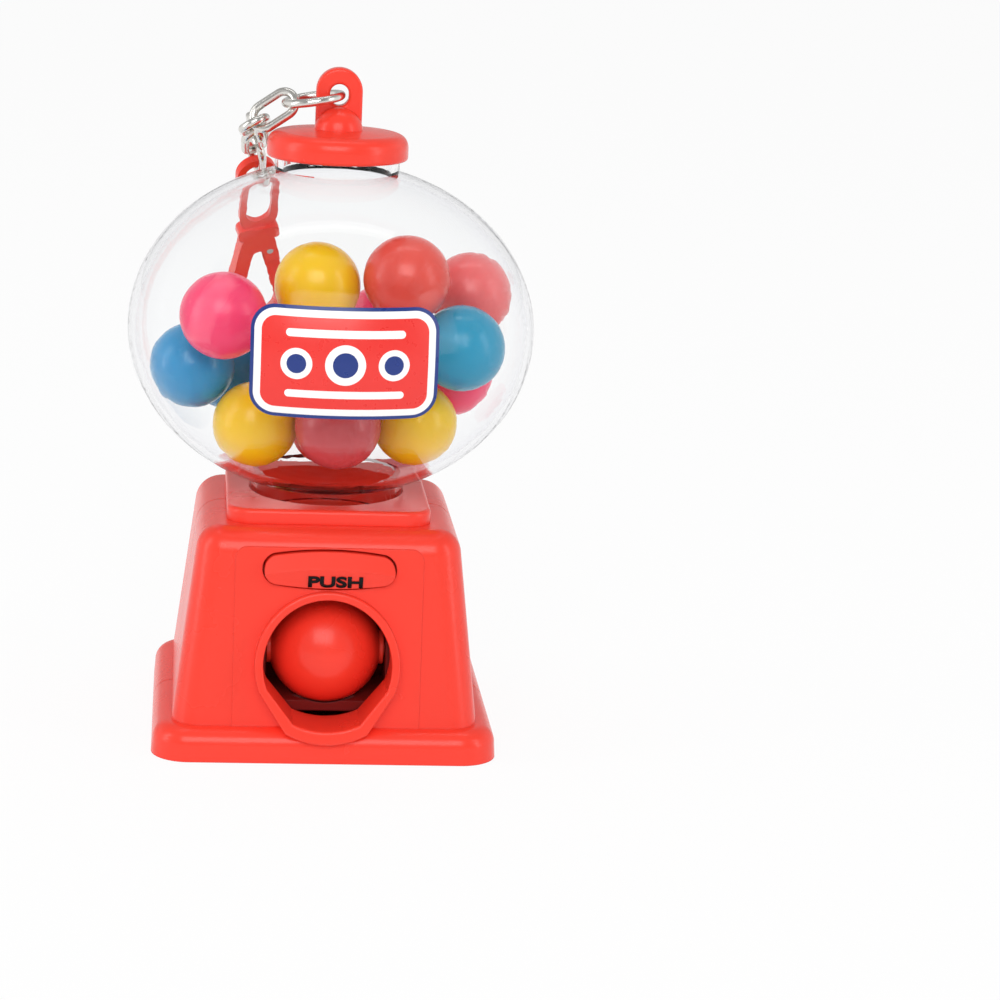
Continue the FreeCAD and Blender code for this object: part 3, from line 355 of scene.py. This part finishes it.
# The dark red of the inner plastic is painted shade: it stands in for the shadow in the mouth beside and below the ball
# gate.
INNER_PAINTED_SHADE = SkinFinish("InnerPlasticPaintedShade", srgb(112, 20, 17), 0.9, roughness=0.5, specular=0.2)
NICKEL = SkinFinish("BrightNickel", (0.80, 0.78, 0.74), 0.8, 500.0, 0.16, 0.12, 3500.0, 0.000006, metallic=1.0)
STEEL = SkinFinish("PlainSteel", (0.56, 0.56, 0.57), 0.8, 700.0, 0.32, 0.2, 4000.0, 0.000006, metallic=1.0)
INK = SkinFinish("BlackInk", (0.006, 0.006, 0.007), 0.8, 800.0, 0.5, specular=0.15)
RED_NODES = ("front_shell", "rear_shell", "floor_plate", "neck_collar", "cap", "push_button", "ball_gate",
             "clip_body", "clip_lever")
INNER_NODES = ("chute_cradle", "gate_crank_left", "gate_crank_right")
NICKEL_NODES = ("jump_ring", "chain_link_1", "chain_link_2", "chain_link_3", "chain_link_4", "chain_link_5")
STEEL_NODES = ("shell_screws", "clip_pin", "button_spring_left", "button_spring_right")


def dress(piece: bpy.types.Object, material: bpy.types.Material) -> None:
    """Gives a piece its only material."""
    piece.data.materials.clear()
    piece.data.materials.append(material)


def only(piece: bpy.types.Object) -> None:
    """Makes a piece the only selected and the active object."""
    bpy.ops.object.select_all(action="DESELECT")
    piece.select_set(True)
    bpy.context.view_layer.objects.active = piece


class CadDress:
    """Dresses every node of the construction model."""

    def __init__(self, skin: SkinGroup) -> None:
        """Keeps the shared node group."""
        self.skin = skin

    def dress(self) -> None:
        """Gives each node its finish."""
        for finish, names in ((RED, RED_NODES), (INNER_PAINTED_SHADE, INNER_NODES), (NICKEL, NICKEL_NODES), (STEEL, STEEL_NODES)):
            material = finish.material(self.skin)
            for name in names:
                dress(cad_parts[name], material)
        dress(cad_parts["globe"], ClearFinish().material())
        for gum in Gum:
            name, colour = gum.value
            glaze = SkinFinish(name + "_glaze", colour, 0.86, 260.0, 0.26, 0.16, 1500.0, 0.00001, coat=0.08,
                                specular=0.28, subsurface=0.15)
            dress(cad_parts[name], glaze.material(self.skin))
        LOG.info("dressed %d construction nodes", len(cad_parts))


def press_on(piece: bpy.types.Object, target: str, lift: float, thickness: float) -> None:
    """Presses a flat sheet on a construction node from the front and gives it thickness.

    Args:
        piece: Flat sheet in front of the node.
        target: Name of the node.
        lift: Gap between the node and the sheet.
        thickness: Thickness of the sheet.
    """
    only(piece)
    wrap = piece.modifiers.new("wrap", "SHRINKWRAP")
    wrap.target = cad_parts[target]
    wrap.wrap_method = "PROJECT"
    wrap.use_project_y = True
    wrap.use_negative_direction = wrap.use_positive_direction = True
    wrap.offset = lift
    sheet = piece.modifiers.new("sheet", "SOLIDIFY")
    sheet.thickness = thickness
    sheet.offset = 1.0
    for name in ("wrap", "sheet"):
        bpy.ops.object.modifier_apply(modifier=name)


@dataclass
class Plaque:
    """Printed plaque wrapped on the front of the globe."""

    centre_x: float = 0.6 * MM
    centre_z: float = 54.4 * MM
    half_width: float = 12.0 * MM
    half_height: float = 7.2 * MM
    corner: float = 3.2 * MM
    edge_width: float = 0.45 * MM
    band_width: float = 1.35 * MM
    bar_offsets: tuple[float, ...] = (-3.9 * MM, 3.9 * MM)
    bar_half: float = 7.6 * MM
    bar_thick: float = 0.5 * MM
    discs: tuple[tuple[float, float], ...] = ((-6.2 * MM, 2.0 * MM), (0.0, 2.6 * MM), (6.2 * MM, 2.0 * MM))
    lift: float = 0.05 * MM
    thickness: float = 0.04 * MM
    step: float = 1.0 * MM

    def build(self) -> bpy.types.Object:
        """Cuts a round-cornered sheet, wraps it on the globe and thickens it.

        Returns:
            The plaque.
        """
        bpy.ops.object.select_all(action="DESELECT")
        start = (self.centre_x, -40 * MM, self.centre_z)
        bpy.ops.mesh.primitive_plane_add(size=1.0, location=start, rotation=(math.pi / 2, 0, 0))
        piece = bpy.context.active_object
        piece.name = piece.data.name = "plaque"
        piece.scale = (2 * self.half_width, 2 * self.half_height, 1.0)
        bpy.ops.object.transform_apply(location=True, rotation=True, scale=True)
        bpy.ops.object.mode_set(mode="EDIT")
        bpy.ops.mesh.select_all(action="SELECT")
        bpy.ops.mesh.bevel(offset=self.corner, affect="VERTICES", segments=10)
        self._slice((1, 0, 0), self.centre_x, self.half_width)
        self._slice((0, 0, 1), self.centre_z, self.half_height)
        bpy.ops.object.mode_set(mode="OBJECT")
        press_on(piece, "globe", self.lift, self.thickness)
        bpy.ops.object.shade_smooth_by_angle(angle=math.radians(40))
        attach(piece, "base")
        return piece

    def _slice(self, way: Colour, middle: float, half: float) -> None:
        """Cuts the sheet across one way so that it can follow the globe.

        Args:
            way: Direction across the cuts.
            middle: Middle of the sheet along that direction.
            half: Half size of the sheet along that direction.
        """
        count = int(2 * half / self.step)
        for index in range(1, count):
            spot = Vector(way) * (middle - half + 2 * half * index / count)
            bpy.ops.mesh.select_all(action="SELECT")
            bpy.ops.mesh.bisect(plane_co=spot, plane_no=way)

    def dress(self, piece: bpy.types.Object) -> None:
        """Prints the plaque."""
        dress(piece, PlaqueFinish().material(self))


@dataclass
class PushLettering:
    """Raised lettering on the lower slope of the push bar."""

    word: str = "PUSH"
    width: float = 7.2 * MM
    height: float = 1.62 * MM
    lift: float = 0.01 * MM
    thickness: float = 0.12 * MM
    boldness: float = 0.035
    start: Colour = (0.75 * MM, -30.0 * MM, 23.82 * MM)

    def build(self) -> bpy.types.Object:
        """Sets the word, makes it a mesh and presses it on the slope.

        Returns:
            The lettering.
        """
        bpy.ops.object.select_all(action="DESELECT")
        bpy.ops.object.text_add()
        text = bpy.context.active_object
        text.data.body = self.word
        text.data.align_x = text.data.align_y = "CENTER"
        text.data.offset = self.boldness
        text.data.resolution_u = 6
        bpy.ops.object.convert(target="MESH")
        piece = bpy.context.active_object
        piece.name = piece.data.name = "push_lettering"
        bpy.ops.object.origin_set(type="ORIGIN_GEOMETRY", center="BOUNDS")
        size = piece.dimensions
        piece.scale = (self.width / size.x, self.height / size.y, 1.0)
        piece.rotation_euler = (math.pi / 2, 0, 0)
        piece.location = self.start
        bpy.ops.object.transform_apply(location=True, rotation=True, scale=True)
        press_on(piece, "push_button", self.lift, self.thickness)
        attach(piece, "button")
        return piece

    def dress(self, piece: bpy.types.Object, skin: SkinGroup) -> None:
        """Inks the lettering black."""
        dress(piece, INK.material(skin))


@dataclass(frozen=True)
class Lamp:
    """Soft rectangular lamp that looks at a point of the object."""

    name: str
    place: Colour
    size: tuple[float, float]
    power: float
    target: Colour = (0.0, 0.0, 0.045)

    def build(self) -> None:
        """Adds the lamp."""
        data = bpy.data.lights.new(self.name, "AREA")
        data.shape = "RECTANGLE"
        data.size, data.size_y = self.size
        data.energy = self.power
        lamp = bpy.data.objects.new(self.name, data)
        bpy.context.scene.collection.objects.link(lamp)
        lamp.location = self.place
        lamp.rotation_euler = (Vector(self.target) - Vector(self.place)).to_track_quat("-Z", "Y").to_euler()


@dataclass
class Studio:
    """Pale floor, white surroundings and soft lamps."""

    lamps: tuple[Lamp, ...] = (
        Lamp("key", (-0.08, -0.72, 0.52), (0.60, 0.45), 3.2),
        Lamp("top", (0.0, 0.10, 0.80), (0.60, 0.08), 0.5),
        Lamp("left", (-0.62, -0.10, 0.22), (0.18, 0.60), 0.9),
        Lamp("right", (0.62, -0.30, 0.24), (0.18, 0.60), 0.8),
    )
    ambient: float = 0.55
    overhead: float = 0.45
    front: float = 0.30
    back: float = 0.55
    floor_colour: Colour = (0.94, 0.94, 0.94)
    floor_glow: float = 0.92

    def build(self) -> None:
        """Makes the floor, the world and the lamps."""
        bpy.ops.object.select_all(action="DESELECT")
        bpy.ops.mesh.primitive_plane_add(size=30.0, location=(0, 0, -0.02 * MM))
        floor = bpy.context.active_object
        floor.name = "floor"
        dress(floor, self._floor_material())
        self._world()
        for lamp in self.lamps:
            lamp.build()

    def _seen(self, tree: bpy.types.NodeTree) -> bpy.types.NodeSocket:
        """Mask for rays that show a surface: camera, mirror and see-through rays.

        Args:
            tree: Node tree that gets the nodes.

        Returns:
            The mask.
        """
        path = new_node(tree, "LightPath").outputs
        shown = math_node(tree, "MAXIMUM", path["Is Camera Ray"], path["Is Glossy Ray"])
        return math_node(tree, "MAXIMUM", shown, path["Is Transmission Ray"])

    def _floor_material(self) -> bpy.types.Material:
        """Pale floor that looks nearly white and still takes a soft shadow.

        Returns:
            The material.
        """
        material = bpy.data.materials.new("PaleFloor")
        material.use_nodes = True
        tree = material.node_tree
        shader = tree.nodes["Principled BSDF"]
        shader.inputs["Base Color"].default_value = (*self.floor_colour, 1.0)
        shader.inputs["Roughness"].default_value = 0.9
        shader.inputs["Specular IOR Level"].default_value = 0.1
        glow = new_node(tree, "Emission")
        share = math_node(tree, "MULTIPLY", self._seen(tree), self.floor_glow)
        blend = new_node(tree, "MixShader")
        tree.links.new(share, blend.inputs["Fac"])
        tree.links.new(shader.outputs[0], blend.inputs[1])
        tree.links.new(glow.outputs[0], blend.inputs[2])
        tree.links.new(blend.outputs[0], tree.nodes["Material Output"].inputs["Surface"])
        return material

    def _world(self) -> None:
        """White surroundings: plain white to the eye, softer as light, dimmer in mirrors overhead, in front and behind."""
        world = bpy.data.worlds.new("Studio")
        bpy.context.scene.world = world
        world.use_nodes = True
        tree = world.node_tree
        sky = tree.nodes["Background"]
        sky.inputs["Color"].default_value = (1.0, 1.0, 1.0, 1.0)
        way = new_node(tree, "SeparateXYZ")
        tree.links.new(new_node(tree, "TexCoord").outputs["Generated"], way.inputs[0])
        path = new_node(tree, "LightPath").outputs
        seen = math_node(tree, "MAXIMUM", path["Is Camera Ray"], path["Is Transmission Ray"])
        unseen = math_node(tree, "SUBTRACT", 1.0, seen)
        mirrored = math_node(tree, "MULTIPLY", path["Is Glossy Ray"], unseen)
        light = math_node(tree, "MULTIPLY", math_node(tree, "SUBTRACT", unseen, mirrored), self.ambient)
        shown = mirrored
        fades = (("Z", 0.25, 0.75, self.overhead), ("Y", -0.35, -0.85, self.front), ("Y", 0.45, 0.90, self.back))
        for axis, start, end, dim in fades:
            fade = new_node(tree, "MapRange", interpolation_type="SMOOTHSTEP")
            tree.links.new(way.outputs[axis], fade.inputs["Value"])
            for name, value in (("From Min", start), ("From Max", end), ("To Min", 1.0), ("To Max", dim)):
                fade.inputs[name].default_value = value
            shown = math_node(tree, "MULTIPLY", shown, fade.outputs["Result"])
        level = math_node(tree, "ADD", math_node(tree, "ADD", shown, light), seen)
        tree.links.new(level, sky.inputs["Strength"])


@dataclass
class Viewpoint:
    """Camera of the photograph: where it stands, how it is turned and what it aims at.

    Angles are in degrees. The aim point is shown at the aim pixel of a square picture.
    """

    azimuth: float = -2.807
    elevation: float = 11.399
    roll: float = 1.981
    distance: float = 420.0 * MM
    aim: Colour = (0.0, 0.0, 47.25 * MM)
    aim_pixel: tuple[float, float] = (329.733, 378.272)
    focal_pixels: float = 3095.92
    picture: int = 1000

    def build(self) -> None:
        """Adds the camera and points it so that the aim point lands on its pixel."""
        azimuth, elevation, roll = (math.radians(a) for a in (self.azimuth, self.elevation, self.roll))
        back = Vector((math.sin(azimuth) * math.cos(elevation), -math.cos(azimuth) * math.cos(elevation),
                       math.sin(elevation)))
        level = Vector((math.cos(azimuth), math.sin(azimuth), 0.0))
        upright = back.cross(level)
        right = level * math.cos(roll) + upright * math.sin(roll)
        up = upright * math.cos(roll) - level * math.sin(roll)
        middle = self.picture / 2
        across, down = ((middle - pixel) / self.focal_pixels for pixel in self.aim_pixel)
        ahead = (right * across - up * down - back).normalized()
        right = (right - ahead * right.dot(ahead)).normalized()
        up = right.cross(ahead)
        data = bpy.data.cameras.new("camera")
        data.sensor_width = 36.0
        data.lens = data.sensor_width * self.focal_pixels / self.picture
        data.clip_start, data.clip_end = 0.01, 100.0
        camera = bpy.data.objects.new("camera", data)
        bpy.context.scene.collection.objects.link(camera)
        turn = Matrix((right, up, -ahead)).transposed().to_4x4()
        camera.matrix_world = Matrix.Translation(Vector(self.aim) + back * self.distance) @ turn
        bpy.context.scene.camera = camera


def set_render() -> None:
    """Sets the renderer, its light paths and the plain view transform."""
    scene = bpy.context.scene
    scene.render.engine = "CYCLES"
    scene.cycles.max_bounces = 32
    scene.cycles.transmission_bounces = 32
    scene.cycles.transparent_max_bounces = 24
    scene.view_settings.view_transform = "Standard"


def main() -> None:
    """Dresses the construction model, adds the printed pieces and sets the stage."""
    logging.basicConfig(level=logging.INFO, format="%(name)s: %(message)s")
    skin = SkinGroup()
    CadDress(skin).dress()
    plaque = Plaque()
    plaque.dress(plaque.build())
    LOG.info("made the plaque")
    lettering = PushLettering()
    lettering.dress(lettering.build(), skin)
    LOG.info("made the lettering")
    Studio().build()
    Viewpoint().build()
    set_render()


if __name__ == "__main__":
    main()
